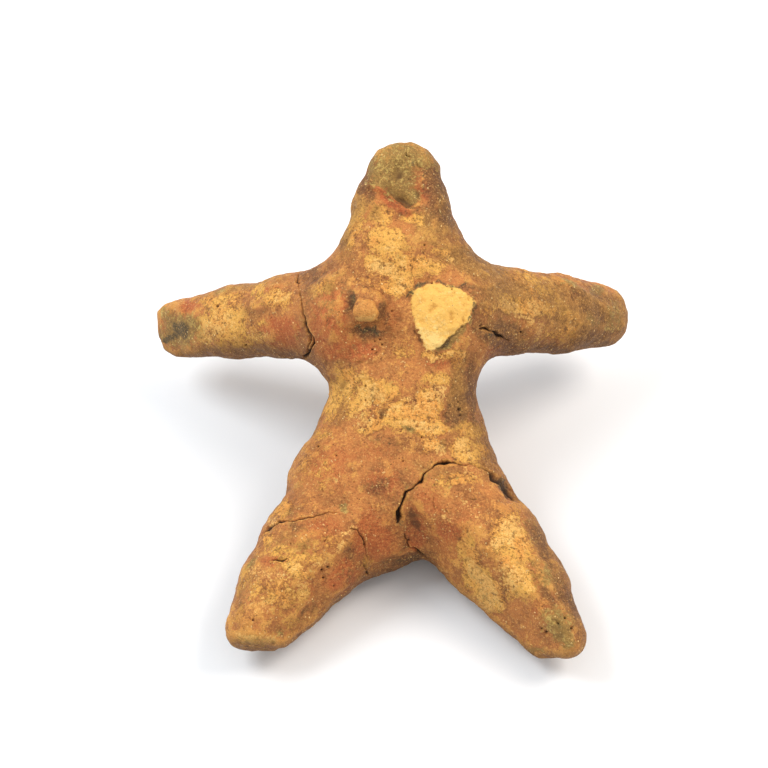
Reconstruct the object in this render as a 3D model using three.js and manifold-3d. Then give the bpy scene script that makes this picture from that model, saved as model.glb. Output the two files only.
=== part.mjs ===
// A small hand-modelled terracotta figure that sits back on its seat, with its arms and legs spread.
// The head, both hands, both feet and one breast were lost long ago, and the breaks are worn.
// One lump of clay makes one solid: limbs are sections swept between stations, melted together
// like worked clay, and the skin is drawn over the blend by surface nets.
// Millimetres, +Z up. Left and right are as seen from the front, which faces -Y.

import * as THREE from 'three';
import { mergeVertices } from 'three/addons/utils/BufferGeometryUtils.js';
import Module from 'manifold-3d';

// Skin
const CELL = 2.0;            // size of one cell of the skin's grid
const SETTLE_STEPS = 4;      // steps that pull each vertex onto the blended surface
const SETTLE_NUDGE = 0.1;    // how far apart the surface is felt to find its slope
const FLATTEST = 0.25;       // least squared slope that a step trusts
const CENTRE = 1e-6;         // slope below which a point is at an ellipsoid's centre
const MARGIN = 3;            // free space around the figure in the grid
const REACH = { min: [-52, -40, -2], max: [52, 50, 60] };

// Seat
const SEAT_LEVEL = 0;        // the flat that the clay took where it was set down to dry
const CUTTER = 200;          // side of the block that trims the seat flat

// Materials
const CLAY = { color: 0xb0713a, roughness: 0.8, metalness: 0 };

// Stations run along a limb's middle. half is [across, through]: half the width as seen from
// the front, and half the thickness from front to back. Each flat is a worn face that takes off
// what stands beyond it: the stump of an arm, the end of a leg or the inner side of a thigh.
const TORSO = {
  facing: [0, -0.66, 0.75],
  stations: [
    { at: [0.9, 42.5, 49.1], half: [6.6, 5.3] },
    { at: [0.3, 37.5, 45.2], half: [8.6, 6.8] },
    { at: [0.4, 31.6, 40.4], half: [10.6, 7.8] },
    { at: [-0.2, 23.6, 32.7], half: [15.5, 8.6] },
    { at: [0.9, 13.6, 23.4], half: [12.4, 9.2] },
    { at: [0.5, 6.4, 17.4], half: [14.5, 10.2] },
    { at: [0.2, -0.5, 12.8], half: [17.8, 10.6] },
  ],
};
const ARMS = [
  {
    facing: [0.35, -0.5, 0.79],
    stations: [
      { at: [-10.5, 23.3, 31.6], half: [8.7, 7.6] },
      { at: [-20.0, 27.2, 27.1], half: [7.4, 7.0] },
      { at: [-30.5, 31.5, 21.0], half: [6.6, 6.4] },
      { at: [-42.3, 35.3, 14.4], half: [5.6, 5.2] },
    ],
    flats: [{ at: [-36.6, 27.7, 21.8], facing: [-0.75, -0.58, 0.32] }],
  },
  {
    facing: [-0.35, -0.5, 0.79],
    stations: [
      { at: [11.5, 24.8, 32.2], half: [8.8, 7.6] },
      { at: [20.0, 28.5, 26.9], half: [7.8, 7.2] },
      { at: [30.0, 33.2, 21.2], half: [7.2, 6.8] },
      { at: [39.2, 37.8, 15.4], half: [6.2, 5.4] },
    ],
  },
];
const LEGS = [
  {
    facing: [-0.2, -0.6, 0.78],
    stations: [
      { at: [-8.0, -3.0, 11.2], half: [10.4, 10.4] },
      { at: [-15.0, -13.0, 10.2], half: [9.5, 9.0] },
      { at: [-20.4, -21.0, 9.0], half: [7.9, 7.6] },
      { at: [-24.4, -28.2, 8.0], half: [6.0, 5.7] },
    ],
    flats: [
      { at: [-23.6, -32.9, 11.8], facing: [0, -0.955, -0.3] },
      { at: [-10.8, -19.5, 14.4], facing: [0.49, -0.68, 0.54] },
    ],
  },
  {
    facing: [0.2, -0.6, 0.78],
    stations: [
      { at: [8.6, -3.0, 11.2], half: [10.3, 10.4] },
      { at: [16.2, -13.0, 10.2], half: [9.1, 9.0] },
      { at: [22.0, -21.3, 9.0], half: [7.5, 7.4] },
      { at: [26.3, -29.9, 8.0], half: [5.9, 5.5] },
    ],
    flats: [
      { at: [26.4, -34.9, 9.2], facing: [0, -0.86, -0.51] },
      { at: [9.8, -17.0, 10.5], facing: [-0.64, -0.7, 0.3] },
    ],
  },
];
const BUTTOCKS = [
  { at: [-6.2, 10.0, 9.8], half: [8.6, 12.5, 11.2] },
  { at: [6.8, 10.0, 9.8], half: [8.6, 12.5, 11.2] },
];
const HIP = { at: [-11.4, 0.0, 14.2], half: [7.8, 6.2, 7.2] };
const CROTCH = { at: [-5.3, -10.3, 6.5], half: [7.9, 4.7, 5.6] };
const BREAST = {
  base: [-7.4, 19.6, 36.8], tip: [-5.2, 16.8, 40.4], baseRadius: 6.2, tipRadius: 2.3,
  facing: [0.9, 0.3, 0.1],
};
const SCAR = { at: [7.9, 17.8, 36.4], half: [5.8, 6.2, 2.3] };

// How softly the pieces of clay run into each other, and how rounded the worn edges are
const MELT = {
  withinLimb: 2, flat: 0.8, buttock: 6, leg: 5, arm: 7.5, hip: 4, crotch: 4, breast: 3, scar: 2,
  headBreak: 1.2,
};

// The head's break is a shallow dish in the front of the neck stub, worn by a ball of this size
const HEAD_BREAK = { at: [0.9, 29.6, 62.0], radius: 14.5 };

const smoothUnion = (a, b, softness) => {
  const overlap = Math.max(softness - Math.abs(a - b), 0) / softness;
  return Math.min(a, b) - (overlap * overlap * softness) / 4;
};
const smoothCut = (a, b, softness) => -smoothUnion(-a, -b, softness);

// Rough distance to an ellipsoid, from the point's coordinates along its axes
function ellipsoidDistance(coordinates, half) {
  const outward = Math.hypot(...coordinates.map((value, i) => value / half[i]));
  const slope = Math.hypot(...coordinates.map((value, i) => value / (half[i] * half[i])));
  return slope < CENTRE ? -Math.min(...half) : (outward * (outward - 1)) / slope;
}

function ellipsoid({ at, half }, turn = new THREE.Quaternion()) {
  const centre = new THREE.Vector3(...at);
  const back = turn.clone().invert();
  const local = new THREE.Vector3();
  return (point) => ellipsoidDistance(
    local.copy(point).sub(centre).applyQuaternion(back).toArray(), half);
}

// One tapering stretch of a limb, oval in section, with rounded ends
function stretch(from, to, facing) {
  const start = new THREE.Vector3(...from.at);
  const run = new THREE.Vector3(...to.at).sub(start);
  const length = run.length();
  const along = run.clone().normalize();
  const through = new THREE.Vector3(...facing).addScaledVector(along, -along.dot(
    new THREE.Vector3(...facing))).normalize();
  const across = new THREE.Vector3().crossVectors(along, through);
  const local = new THREE.Vector3();
  return (point) => {
    local.copy(point).sub(start);
    const travel = local.dot(along);
    const part = THREE.MathUtils.clamp(travel / length, 0, 1);
    const half = from.half.map((value, i) => THREE.MathUtils.lerp(value, to.half[i], part));
    const past = travel - part * length;
    return ellipsoidDistance(
      [local.dot(across), local.dot(through), past], [...half, Math.min(...half)]);
  };
}

function limb({ stations, facing, flats = [] }) {
  const stretches = stations.slice(1).map((to, i) => stretch(stations[i], to, facing));
  const planes = flats.map((flat) => new THREE.Plane().setFromNormalAndCoplanarPoint(
    new THREE.Vector3(...flat.facing).normalize(), new THREE.Vector3(...flat.at)));
  return (point) => {
    const whole = stretches.reduce(
      (nearest, piece) => smoothUnion(nearest, piece(point), MELT.withinLimb), Infinity);
    return planes.reduce(
      (rest, plane) => smoothCut(rest, plane.distanceToPoint(point), MELT.flat), whole);
  };
}

// A blunt cone with a rounded tip, pulled out of the chest
function cone({ base, tip, baseRadius, tipRadius, facing }) {
  return stretch(
    { at: base, half: [baseRadius, baseRadius] }, { at: tip, half: [tipRadius, tipRadius] }, facing);
}

function figureForm() {
  const chestTurn = new THREE.Quaternion().setFromUnitVectors(
    new THREE.Vector3(0, 0, 1), new THREE.Vector3(...TORSO.facing).normalize());
  const torso = limb(TORSO);
  const additions = [
    ...BUTTOCKS.map((lobe) => [ellipsoid(lobe), MELT.buttock]),
    ...LEGS.map((leg) => [limb(leg), MELT.leg]),
    ...ARMS.map((arm) => [limb(arm), MELT.arm]),
    [ellipsoid(HIP), MELT.hip],
    [ellipsoid(CROTCH), MELT.crotch],
    [cone(BREAST), MELT.breast],
    [ellipsoid(SCAR, chestTurn), MELT.scar],
  ];
  const headBreak = new THREE.Sphere(new THREE.Vector3(...HEAD_BREAK.at), HEAD_BREAK.radius);
  return (point) => {
    const body = additions.reduce(
      (nearest, [form, softness]) => smoothUnion(nearest, form(point), softness), torso(point));
    return smoothCut(body, -headBreak.distanceToPoint(point), MELT.headBreak);
  };
}

// Surface nets: one vertex in each cell that the surface crosses, and one square face for
// each grid edge that it crosses
function drawSkin(form) {
  const low = new THREE.Vector3(...REACH.min).subScalar(MARGIN);
  const size = new THREE.Vector3(...REACH.max).addScalar(MARGIN).sub(low);
  const [nx, ny, nz] = size.toArray().map((extent) => Math.ceil(extent / CELL) + 1);
  const at = (i, j, k) => i + nx * (j + ny * k);
  const corner = (i, j, k) => new THREE.Vector3(i, j, k).multiplyScalar(CELL).add(low);
  const values = new Float64Array(nx * ny * nz);
  for (let k = 0; k < nz; k += 1) {
    for (let j = 0; j < ny; j += 1) {
      for (let i = 0; i < nx; i += 1) values[at(i, j, k)] = form(corner(i, j, k));
    }
  }

  const vertexOf = new Map();
  const positions = [];
  const steps = [[1, 0, 0], [0, 1, 0], [0, 0, 1]];
  const crossing = (a, b) => {
    const share = values[at(...a)] / (values[at(...a)] - values[at(...b)]);
    return corner(...a).lerp(corner(...b), share);
  };
  const cellCrossings = (i, j, k) => {
    const found = [];
    for (const step of steps) {
      const [u, v] = steps.filter((other) => other !== step);
      for (const [m, n] of [[0, 0], [0, 1], [1, 0], [1, 1]]) {
        const a = [i, j, k].map((value, axis) => value + m * u[axis] + n * v[axis]);
        const b = a.map((value, axis) => value + step[axis]);
        if (values[at(...a)] < 0 !== values[at(...b)] < 0) found.push(crossing(a, b));
      }
    }
    return found;
  };
  const settle = (point) => {
    for (let n = 0; n < SETTLE_STEPS; n += 1) {
      const value = form(point);
      const riseAlong = (step) => {
        const beside = point.clone().addScaledVector(new THREE.Vector3(...step), SETTLE_NUDGE);
        return (form(beside) - value) / SETTLE_NUDGE;
      };
      const slope = new THREE.Vector3(...steps.map(riseAlong));
      point.addScaledVector(slope, -value / Math.max(slope.lengthSq(), FLATTEST));
    }
    return point;
  };
  for (let k = 0; k < nz - 1; k += 1) {
    for (let j = 0; j < ny - 1; j += 1) {
      for (let i = 0; i < nx - 1; i += 1) {
        const found = cellCrossings(i, j, k);
        if (found.length > 0) {
          const middle = found.reduce((sum, point) => sum.add(point), new THREE.Vector3());
          vertexOf.set(at(i, j, k), positions.length / 3);
          positions.push(...settle(middle.divideScalar(found.length)).toArray());
        }
      }
    }
  }

  const triangles = [];
  const spot = (index) => new THREE.Vector3().fromArray(positions, 3 * index);
  const addSquare = (corners) => {
    const [a, b, c, d] = corners;
    const short = spot(a).distanceTo(spot(c)) < spot(b).distanceTo(spot(d));
    triangles.push(...(short ? [a, b, c, a, c, d] : [a, b, d, b, c, d]));
  };
  for (let k = 1; k < nz - 1; k += 1) {
    for (let j = 1; j < ny - 1; j += 1) {
      for (let i = 1; i < nx - 1; i += 1) {
        steps.forEach((step, axis) => {
          const inside = values[at(i, j, k)] < 0;
          const nextInside = values[at(i + step[0], j + step[1], k + step[2])] < 0;
          if (inside === nextInside) return;
          const u = steps[(axis + 1) % 3];
          const v = steps[(axis + 2) % 3];
          const around = [[0, 0], [1, 0], [1, 1], [0, 1]].map(([m, n]) => vertexOf.get(
            at(i - m * u[0] - n * v[0], j - m * u[1] - n * v[1], k - m * u[2] - n * v[2])));
          addSquare(inside ? around : around.reverse());
        });
      }
    }
  }
  return { positions, triangles };
}

function toSolid(wasm, positions, triangles) {
  return new wasm.Manifold(new wasm.Mesh({
    numProp: 3,
    vertProperties: new Float32Array(positions),
    triVerts: new Uint32Array(triangles),
  }));
}

function toGeometry(solid) {
  const { vertProperties, triVerts } = solid.getMesh();
  const geometry = new THREE.BufferGeometry();
  geometry.setAttribute('position', new THREE.BufferAttribute(new Float32Array(vertProperties), 3));
  geometry.setIndex(new THREE.BufferAttribute(new Uint32Array(triVerts), 1));
  geometry.computeVertexNormals();
  return geometry;
}

// The block below the seat, which trims the clay flat
function groundBlock(wasm) {
  const block = new THREE.BoxGeometry(CUTTER, CUTTER, CUTTER);
  block.translate(0, 0, SEAT_LEVEL - CUTTER / 2);
  block.deleteAttribute('normal');
  block.deleteAttribute('uv');
  const merged = mergeVertices(block);
  return toSolid(wasm, merged.attributes.position.array, merged.index.array);
}

const wasm = await Module();
wasm.setup();

const skin = drawSkin(figureForm());
const trimmed = toSolid(wasm, skin.positions, skin.triangles).subtract(groundBlock(wasm));

// The origin is on the ground, under the middle of the figure's box
const geometry = toGeometry(trimmed);
geometry.computeBoundingBox();
const middle = geometry.boundingBox.getCenter(new THREE.Vector3());

const figure = new THREE.Mesh(geometry, new THREE.MeshStandardMaterial(CLAY));
figure.name = 'figure';
figure.position.set(-middle.x, -middle.y, -SEAT_LEVEL);

const group = new THREE.Group();
group.add(figure);

export default group;
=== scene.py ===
# The looks of the small terracotta figure: worn, mended clay with its pores, grit and cracks
import math
import bmesh
import bpy
import numpy as np
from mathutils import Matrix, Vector
from mathutils.bvhtree import BVHTree


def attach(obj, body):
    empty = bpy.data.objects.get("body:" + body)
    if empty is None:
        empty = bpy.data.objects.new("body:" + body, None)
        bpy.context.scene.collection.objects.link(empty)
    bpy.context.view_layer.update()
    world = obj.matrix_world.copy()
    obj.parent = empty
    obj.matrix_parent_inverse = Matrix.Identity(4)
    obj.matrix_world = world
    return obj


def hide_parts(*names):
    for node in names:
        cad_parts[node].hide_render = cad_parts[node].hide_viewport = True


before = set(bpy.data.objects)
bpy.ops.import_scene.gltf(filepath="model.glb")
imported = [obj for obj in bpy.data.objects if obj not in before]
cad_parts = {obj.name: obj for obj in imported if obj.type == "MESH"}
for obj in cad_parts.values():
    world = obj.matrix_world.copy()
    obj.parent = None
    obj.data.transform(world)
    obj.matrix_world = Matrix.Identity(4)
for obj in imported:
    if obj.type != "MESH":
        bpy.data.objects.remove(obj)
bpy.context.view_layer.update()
scene = bpy.context.scene
mm = 0.001

# Camera
# Places on the figure are given as points of its picture, 768 wide, and land on the clay behind them
camera = {
    "lens": 85.0, "sensor": 36.0, "pictureWidth": 768,
    "elevation": 50.0,              # degrees above the table
    "aim": (-1.72, 17.18, 11.4),    # mm, behind the middle of the picture
    "pixel": 0.19,                  # mm, the size of a pixel at the aim
}
focalPixels = camera["pictureWidth"] * camera["lens"] / camera["sensor"]
lookUp = math.radians(camera["elevation"])
towardCamera = np.array([0.0, -math.cos(lookUp), math.sin(lookUp)])
pictureUp = np.array([0.0, math.sin(lookUp), math.cos(lookUp)])
cameraPlace = np.array(camera["aim"]) + towardCamera * focalPixels * camera["pixel"]


def addCamera():
    lens = bpy.data.cameras.new("camera")
    lens.lens, lens.sensor_width = camera["lens"], camera["sensor"]
    lens.clip_start, lens.clip_end = 0.01, 10.0
    holder = bpy.data.objects.new("camera", lens)
    holder.location = cameraPlace * mm
    holder.rotation_euler = (math.pi / 2 - lookUp, 0.0, 0.0)
    scene.collection.objects.link(holder)
    scene.camera = holder


def pictureOf(points):
    # where points in mm are seen in the picture
    away = points - cameraPlace
    depth = -away @ towardCamera
    middle = camera["pictureWidth"] / 2
    across = middle + focalPixels * away[:, 0] / depth
    down = middle - focalPixels * (away @ pictureUp) / depth
    return np.stack([across, down], axis=1)


# Numbers over the skin

def ease(value, low, high):
    # 0 below low, 1 above high, and smooth between them
    part = np.clip((value - low) / (high - low), 0.0, 1.0)
    return part * part * (3 - 2 * part)


def latticeValue(corner, seed):
    # a number between -1 and 1 for each corner of a grid: it looks random, but is the same on every run
    mixed = corner[:, 0] * 73856093 ^ corner[:, 1] * 19349663 ^ corner[:, 2] * 83492791 ^ seed * 2654435
    mixed = (mixed ^ (mixed >> 13)) * 1274126177 & 0xFFFFFFFF
    mixed = (mixed ^ (mixed >> 15)) * 2246822519 & 0xFFFFFFFF
    return (mixed ^ (mixed >> 16)) / 2.0 ** 31 - 1.0


def roughness(points, size, seed, octaves=1):
    # smooth random bumps of about this size in mm; each further octave is half as high and half the size
    total, strength = np.zeros(len(points)), 1.0
    for octave in range(octaves):
        place = points / size + seed * 17.3
        corner = np.floor(place).astype(np.int64)
        part = place - corner
        part = part * part * (3 - 2 * part)
        for step in np.ndindex(2, 2, 2):
            weight = np.prod(np.where(np.array(step) == 1, part, 1 - part), axis=1)
            total += strength * weight * latticeValue(corner + step, seed + octave)
        size, strength = size / 2.1, strength / 2
    return total


def routeDistance(spots, route):
    # distance in pixels from each spot to a route, and the route's half width there if its points have one
    nearest = np.full(len(spots), np.inf)
    width = np.zeros(len(spots))
    for start, end in zip(route, route[1:]):
        run = np.array(end[:2], float) - start[:2]
        part = np.clip((spots - start[:2]) @ run / (run @ run), 0.0, 1.0)
        gap = np.linalg.norm(spots - start[:2] - part[:, None] * run, axis=1)
        closer = gap < nearest
        nearest = np.where(closer, gap, nearest)
        if len(start) > 2:
            width = np.where(closer, start[2] + part * (end[2] - start[2]), width)
    return nearest, width


def ovalDistance(spots, oval):
    # 0 in the middle of an oval and 1 on its rim
    x, y, halfWide, halfHigh, turn = oval[:5]
    angle = math.radians(turn)
    away = spots - (x, y)
    along = (away[:, 0] * math.cos(angle) + away[:, 1] * math.sin(angle)) / halfWide
    across = (away[:, 1] * math.cos(angle) - away[:, 0] * math.sin(angle)) / halfHigh
    return np.hypot(along, across)


# The skin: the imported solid's form as a fine mesh

skin = {
    "cell": 0.52,          # mm, one face of the fine skin
    "merge": 0.002,        # mm, corners of the solid nearer than this are one corner
    "smoothing": 10,       # rounds that take the solid's flat faces out
    "seat": 0.35,          # mm above the table below which the clay stays flat
    "onTable": 0.001,      # mm, a point no higher than this stands on the table
    "seatFade": 1.5,       # mm above the table over which the relief comes in
    "fineNear": 6.0,       # pixels from a crack within which the faces are halved
    "finestNear": 2.0,     # pixels from a crack within which they are halved again
    "poreLess": {"fineNear": 3.0, "finestNear": 0.6},    # pixels less than those round a pore
    "fineNub": (366, 316, 22),    # place and reach in pixels of the halved faces round the nub
}

# What the camera sees: mm off the clay to look from, how squarely it faces the camera, rounds of softening
sight = {"lift": 0.1, "facing": (0.02, 0.25), "soften": 3}


def pointsOf(mesh):
    points = np.empty(3 * len(mesh.vertices))
    mesh.vertices.foreach_get("co", points)
    return points.reshape(-1, 3) / mm


def edgesOf(mesh):
    edges = np.empty(2 * len(mesh.edges), dtype=np.int64)
    mesh.edges.foreach_get("vertices", edges)
    return edges.reshape(-1, 2)


def neighbourMean(values, edges):
    count = np.bincount(edges.ravel(), minlength=len(values))
    columns = []
    for column in values.reshape(len(values), -1).T:
        total = np.bincount(edges[:, 0], column[edges[:, 1]], len(values))
        total += np.bincount(edges[:, 1], column[edges[:, 0]], len(values))
        columns.append(total / np.maximum(count, 1))
    return np.stack(columns, axis=1).reshape(values.shape)


def relax(values, edges, rounds, keepSize=True):
    # each round in then out again, so that the form doesn't shrink
    for step in [0.5, -0.53 if keepSize else 0.5] * rounds:
        values = values + step * (neighbourMean(values, edges) - values)
    return values


def normalsOf(mesh):
    normals = np.empty(3 * len(mesh.vertices))
    mesh.vertex_normals.foreach_get("vector", normals)
    return normals.reshape(-1, 3)


def fineSkin():
    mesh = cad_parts["figure"].data.copy()
    merged = bmesh.new()
    merged.from_mesh(mesh)
    bmesh.ops.remove_doubles(merged, verts=merged.verts, dist=skin["merge"] * mm)
    merged.to_mesh(mesh)
    merged.free()
    rough = bpy.data.objects.new("roughSkin", mesh)
    scene.collection.objects.link(rough)
    remesh = rough.modifiers.new("cells", "REMESH")
    remesh.mode, remesh.voxel_size = "VOXEL", skin["cell"] * mm
    bpy.context.view_layer.update()
    fine = bpy.data.meshes.new_from_object(rough.evaluated_get(bpy.context.evaluated_depsgraph_get()))
    bpy.data.objects.remove(rough)
    points, edges = pointsOf(fine), edgesOf(fine)
    points = relax(points, edges, skin["smoothing"])
    points[:, 2] = np.where(points[:, 2] < skin["seat"], 0.0, points[:, 2])
    fine.vertices.foreach_set("co", (points * mm).ravel())
    fine.update()
    return fine


def halveFaces(mesh, wanted):
    # cuts every face that has a wanted vertex into four
    fine = bmesh.new()
    fine.from_mesh(mesh)
    fine.verts.ensure_lookup_table()
    faces = {face for index in np.flatnonzero(wanted) for face in fine.verts[index].link_faces}
    edges = {edge for face in faces for edge in face.edges}
    bmesh.ops.subdivide_edges(fine, edges=list(edges), cuts=1, use_grid_fill=True, smooth=0.0)
    fine.to_mesh(mesh)
    fine.free()


def seenFromCamera(points, normals, edges, mesh):
    # 1 where the camera sees the clay, fading to 0 round its edges and behind other limbs
    faces = [tuple(face.vertices) for face in mesh.polygons]
    tree = BVHTree.FromPolygons(points.tolist(), faces)
    facing = normals @ towardCamera
    seen = np.zeros(len(points))
    for index in np.flatnonzero(facing > sight["facing"][0]):
        start = Vector(points[index] + sight["lift"] * normals[index])
        toward = Vector(cameraPlace - points[index]).normalized()
        seen[index] = tree.ray_cast(start, toward)[0] is None
    return relax(seen, edges, sight["soften"], keepSize=False) * ease(facing, *sight["facing"])


# Relief

# Each crack is a route of picture points with half its width there, in mm
cracks = {
    "shoulderJoin": [
        (299, 274, .18), (297, 282, .2), (300, 292, .2), (302, 303, .22), (303, 315, .26), (305, 325, .34),
        (307, 332, .34), (312, 338, .3), (313, 344, .36), (310, 350, .34), (305, 356, .34), (301, 363, .4)],
    "shoulderJoinChip": [(305, 328, .2), (309, 334, .22), (309, 344, .2), (306, 352, .2)],
    "thighJoinRight": [
        (397, 523, .4), (399, 517, .62), (400, 509, .36), (402, 500, .22), (405, 492, .3), (413, 487, .16),
        (421, 481, .28), (424, 474, .34), (430, 469, .14), (438, 464, .28), (443, 461, .5), (450, 461, .36),
        (460, 463, .14), (472, 464, .14), (482, 467, .24), (488, 471, .5), (494, 477, .66), (501, 482, .9),
        (508, 488, 1.3), (516, 495, 1.5)],
    "thighJoinLeft": [
        (262, 534, .4), (268, 528, .3), (278, 522, .26), (290, 520, .22), (301, 518, .4), (306, 518, .3),
        (317, 515, .18), (327, 512, .16), (338, 511, .1)],
    "thighCrackLeft": [
        (351, 529, .2), (356, 530, .16), (360, 534, .18), (363, 541, .2), (366, 549, .1), (367, 557, .14),
        (366, 566, .22), (368, 575, .3)],
    "underThigh": [(405, 535, .2), (409, 546, .16), (416, 550, .22), (424, 556, .2), (430, 561, .2)],
    "groinPit": [(397, 520, .4), (399, 514, .6)],
    "headCrackLeft": [(407, 151, .1), (407, 155, .16), (409, 158, .12)],
    "headCrackRight": [(416, 161, .12), (418, 165, .18), (421, 168, .12)],
    "breastScratch": [(357, 362, .08), (362, 363, .1), (367, 362, .06)],
    "thighScratch": [(433, 498, .06), (433, 507, .08), (434, 511, .05)],
    "thighNick": [(445, 507, .05), (446, 512, .1), (447, 514, .05)],
    "thighCurl": [(463, 492, .06), (467, 497, .07), (473, 500, .09), (478, 500, .07)],
    "armpit": [(483, 330, .2), (489, 330, .3), (496, 334, .42), (503, 338, .36), (508, 341, .2)],
    "armpitShort": [(492, 349, .12), (497, 347, .16), (500, 346, .08)],
    "legSlot": [(272, 561, .12), (277, 560, .34), (282, 560, .34), (286, 558, .16)],
}
crackLook = {
    "width": 0.72, "open": 0.95, "openVaries": 0.55, "breaks": 1.9,    # breaks: mm from wide to thin
    "depthForWidth": 3.2, "deepest": 1.5, "thinnest": 0.05,
    "wander": (1.3, 1.2),                   # pixels and mm, how far and how coarsely it strays
    "darkReach": 1.1, "darkWidth": 0.22,    # how far it is dark, and the half width of a black one
}

# Soft hollows and swellings made by fingers: picture place, half sizes, turn, height in mm
fingerMarks = {
    "shoulderValley": (308, 279, 26, 7, -24, -0.55),
    "neckSideRight": (462, 262, 22, 12, 25, -0.25),
    "belowBreast": (366, 340, 24, 14, 8, -0.5),
    "besideBreastLeft": (345, 303, 8, 16, 0, -0.3),
    "besideBreastRight": (388, 318, 9, 16, 0, -0.35),
    "betweenBreasts": (398, 330, 10, 24, -8, -0.2),
    "armpitRight": (478, 330, 10, 26, 20, -0.5),
    "lowerArmRight": (512, 333, 30, 10, 18, -0.35),
    "waistRight": (450, 405, 12, 26, 8, -0.35),
    "waistLeft": (344, 392, 8, 20, 10, -0.2),
    "bellyCrease": (382, 416, 4, 14, 8, -0.25),
    "hipLeft": (290, 494, 12, 8, 0, -0.25),
    "hipDentLeft": (333, 500, 18, 12, -30, -0.3),
    "groinLeft": (381, 492, 20, 14, -20, -0.5),
    "groinRight": (412, 520, 10, 26, -12, -0.45),
    "thighHollowRight": (430, 540, 16, 26, -20, -0.35),
    "thighTopRight": (455, 490, 26, 18, 10, 0.35),
    "calfRight": (470, 585, 8, 26, -38, -0.3),
    "shinRight": (535, 575, 9, 26, -25, -0.25),
    "kneeLeft": (300, 545, 26, 16, -20, 0.3),
    "innerLegLeft": (352, 560, 18, 20, 30, -0.35),
    "ankleLeft": (300, 622, 18, 10, -38, -0.3),
    "heelLeft": (254, 600, 14, 18, 0, 0.2),
    "armTopLeft": (232, 298, 32, 7, -8, -0.25),
    "armWaistLeft": (262, 318, 8, 26, 0, -0.2),
    "armHollowRight": (575, 300, 22, 6, 28, -0.3),
    "nearScar": (426, 284, 18, 6, -8, -0.3),
}

# Edges where two worked faces of the clay meet: height in mm, half width in pixels, route
ridges = {
    "shinLeft": (0.55, 15, [(352, 527), (342, 545), (322, 561), (306, 577), (304, 596), (296, 618)]),
    "thighRight": (0.45, 14, [(420, 508), (434, 526), (447, 545), (457, 566), (470, 592), (490, 618)]),
    "shinRight": (0.35, 12, [(500, 505), (524, 540), (545, 580), (556, 610)]),
    "armRight": (0.4, 7, [(553, 276), (566, 284), (582, 293), (600, 302), (612, 312)]),
    "chestLeft": (0.3, 12, [(330, 372), (352, 368), (372, 380), (386, 392)]),
    "collar": (0.25, 10, [(352, 262), (330, 278), (316, 290)]),
}

# Small holes where grit or straw burnt out: picture place and radius in mm
pores = [
    (216, 305, .34), (422, 437, .24), (325, 541, .16), (291, 544, .16), (303, 554, .14), (366, 386, .18),
    (365, 400, .2), (318, 446, .22), (383, 294, .16), (393, 311, .22), (380, 340, .2), (375, 342, .18),
    (382, 345, .2), (372, 350, .22), (376, 353, .16), (354, 334, .14), (452, 289, .18), (432, 283, .2),
    (460, 409, .3), (461, 415, .24), (459, 402, .2), (403, 461, .2), (558, 623, .36), (566, 617, .3),
    (545, 633, .36), (541, 629, .22), (572, 628, .26), (517, 577, .16), (402, 236, .16), (379, 243, .16),
    (389, 233, .14), (413, 218, .18), (425, 245, .22), (522, 333, .26), (246, 345, .2), (322, 570, .3),
    (328, 567, .3), (324, 578, .26), (334, 586, .18), (253, 620, .26), (282, 515, .1), (437, 330, .14),
    (409, 541, .3), (483, 327, .2), (276, 291, .12), (354, 482, .14), (362, 466, .14), (336, 455, .2)]
poreLook = {"depthForRadius": 1.8, "dark": 0.8, "darkReach": 1.1}

# The nub of the one breast, the scar of the other and the broken head
nub = {
    "middle": (366, 310), "half": (12.5, 14.0), "squareness": 2.6, "height": 1.5, "reach": 1.1, "side": 0.5,
    "wander": (1.2, 1.4),    # pixels and mm, how far and how coarsely its outline strays
    "brow": (294, 313),      # between these rows of the picture it comes out of the breast
    "facet": (312, 323), "facetFall": 1.3,    # between these rows its end is worn off
    "swell": (365, 293, 19, 12, 0), "swellHeight": 0.75,
    "grain": 0.22, "grainSize": 1.3, "grainReach": 1.3, "grainFade": 0.5,
    "shelf": (367, 330, 19, 7, 0), "shelfDepth": 0.9, "moat": (350, 304, 6, 12, 10), "moatDepth": 0.7,
}
scar = {
    "rim": [
        (411, 290), (420, 284), (435, 281), (451, 286), (465, 292), (476, 303), (472, 310), (471, 320),
        (460, 329), (449, 338), (438, 350), (427, 350), (421, 338), (416, 326), (412, 314), (409, 302)],
    "wander": (2.0, 3.0), "ripple": (1.6, 0.6),    # pixels and mm, how its rim strays
    "height": 0.16, "edge": (-1.5, 2.5),           # between these pixels inside the rim it rises
    "grain": 0.14, "grainSize": 0.8, "swell": 0.3, "swellSize": 4.0,
    "moat": 0.3, "moatOut": 1.5, "moatHalf": 2.0, "moatBreaks": 2.5, "moatGaps": (-0.4, 0.4),
    "freshEdge": (-4.0, 5.0),                      # between these its pale colour comes in
}
headBreak = {
    "rim": [
        (372, 172), (392, 160), (408, 158), (420, 168), (428, 182), (418, 203), (408, 209), (396, 205),
        (370, 186)],
    "lip": [(368, 187), (380, 191), (391, 199), (400, 207), (409, 211), (418, 206)],
    "edge": (-2, 4), "grain": 0.16, "grainSize": 1.6, "lipHeight": 0.7, "lipHalf": 3.0,
    "hollow": (404, 201, 13, 5, 25), "hollowDepth": 1.0,
    "cheek": (425, 187, 9, 14, -15), "cheekHeight": 0.55, "fall": 1.2,
}
clayBumps = [(9.0, 0.18), (4.2, 0.1), (2.0, 0.13), (1.0, 0.12)]    # size and height in mm
markLook = {
    "wander": (3.0, 3.5),    # pixels and mm, how far and how coarsely the soft marks stray
    "fingerFall": 1.4,       # how fast a finger mark fades from its middle
    "ridgeCrest": 1.3,       # above 1 a ridge has hollow sides
}
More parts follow.
